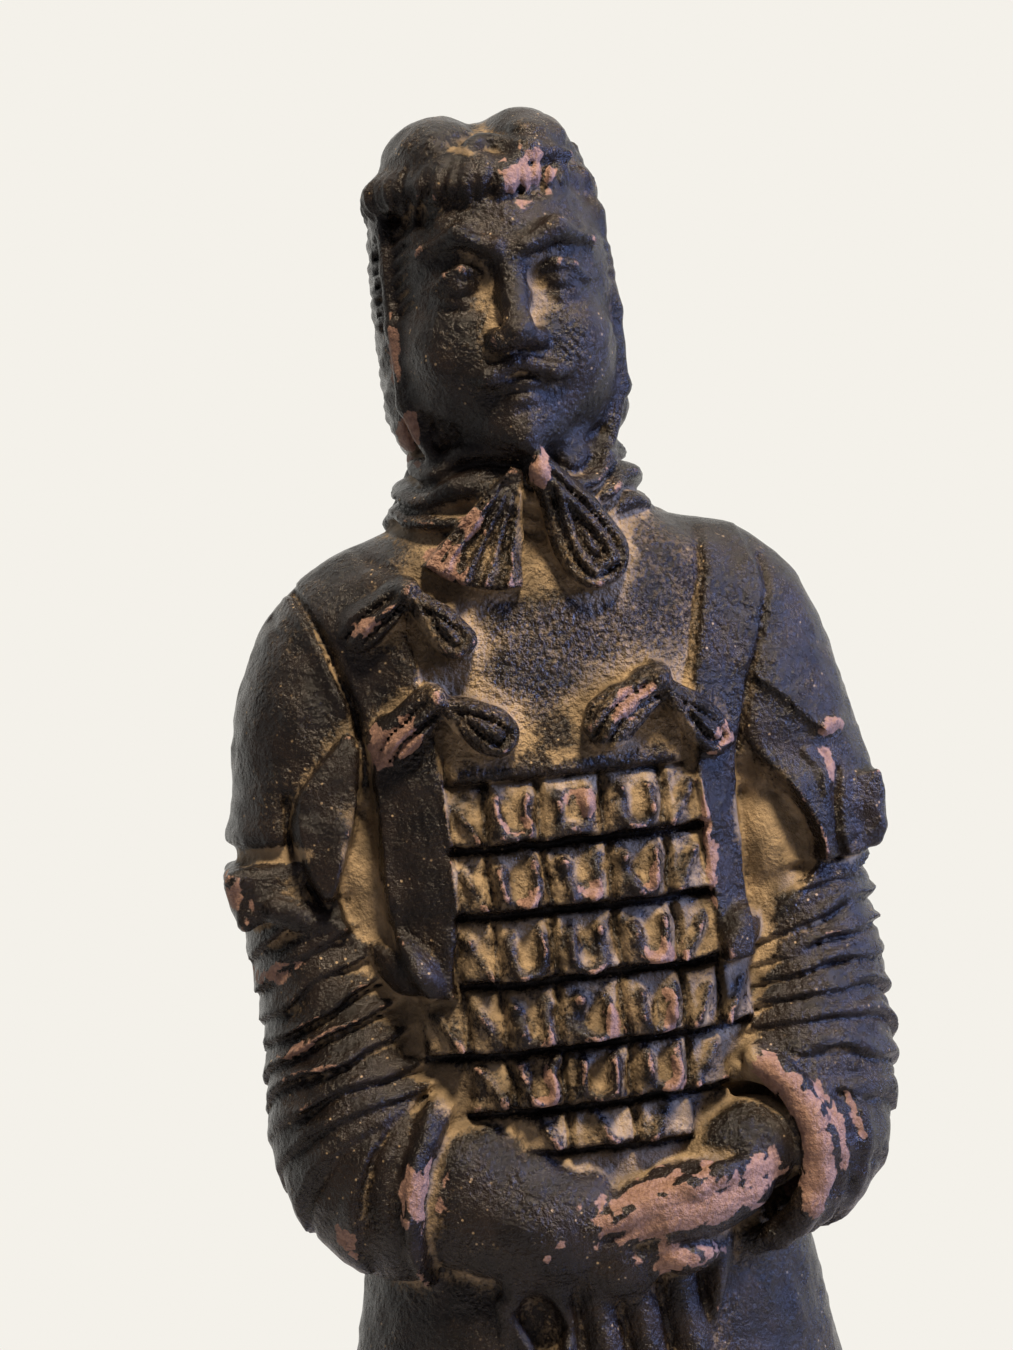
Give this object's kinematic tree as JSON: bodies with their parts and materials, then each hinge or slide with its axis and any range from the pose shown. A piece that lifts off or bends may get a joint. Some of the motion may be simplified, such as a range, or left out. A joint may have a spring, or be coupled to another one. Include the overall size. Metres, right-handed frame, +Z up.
{
  "type": "terracotta warrior figurine",
  "caption": "Small dark fired-clay souvenir figurine of an armoured general with a two-lobed cap, ribbon bows, folded sleeves and clasped hands, standing on a low plinth.",
  "frame": {"origin": "middle of the plinth's underside", "axes": "+Z up through the figure, which faces -Y; +X to the viewer's right"},
  "size_m": [0.062, 0.048, 0.2001],
  "materials": {
    "fired_clay": "fired clay with a dark satin coat, ochre dust in the recesses and bare pink clay on the worn edges"
  },
  "bodies": {
    "root": {"warrior_figurine": "fired_clay"}
  },
  "joints": []
}
